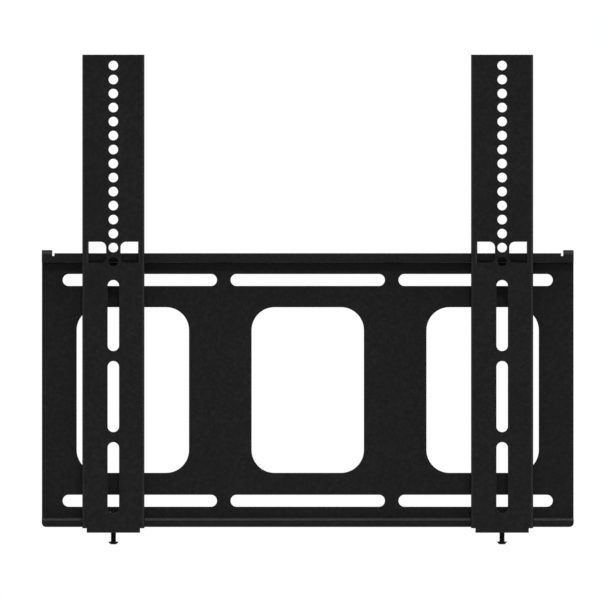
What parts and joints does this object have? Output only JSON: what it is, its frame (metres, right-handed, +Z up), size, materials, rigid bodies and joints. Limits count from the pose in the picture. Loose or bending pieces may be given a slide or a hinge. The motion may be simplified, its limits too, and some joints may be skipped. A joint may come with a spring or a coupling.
{
  "type": "fixed tv bracket",
  "caption": "Low profile wall bracket for a screen: slotted wall plate with a hanging rail, and hooked arms that slide along it and lock with safety screws.",
  "frame": {"origin": "middle of the wall slot pattern, on the plate's back face", "axes": "+X to the right seen from the front, +Y into the wall, +Z up; the wall is the plane Y = 0 and the front looks along -Y"},
  "size_m": [0.4826, 0.0254, 0.4442],
  "materials": {
    "black_coat": "fine textured black powder coat, matt",
    "black_oxide": "black oxide, oiled",
    "zinc_plate": "clear zinc plate"
  },
  "bodies": {
    "wall_plate": {"wall_plate": "black_coat"},
    "left_arm": {"left_arm": "black_coat", "left_clinch_nut": "zinc_plate"},
    "right_arm": {"right_arm": "black_coat", "right_clinch_nut": "zinc_plate"},
    "left_screw": {"left_safety_screw": "black_oxide"},
    "right_screw": {"right_safety_screw": "black_oxide"}
  },
  "joints": [
    {"name": "left_arm_slide", "type": "slide", "parent": "wall_plate", "child": "left_arm", "axis": [1, 0, 0], "range_m": [-0.0305, 0.147]},
    {"name": "right_arm_slide", "type": "slide", "parent": "wall_plate", "child": "right_arm", "axis": [1, 0, 0], "range_m": [-0.147, 0.0305]},
    {"name": "left_screw_travel", "type": "slide", "parent": "left_arm", "child": "left_screw", "axis": [0, 0, 1], "range_m": [-0.0085, 0]},
    {"name": "right_screw_travel", "type": "slide", "parent": "right_arm", "child": "right_screw", "axis": [0, 0, 1], "range_m": [-0.0085, 0]}
  ]
}
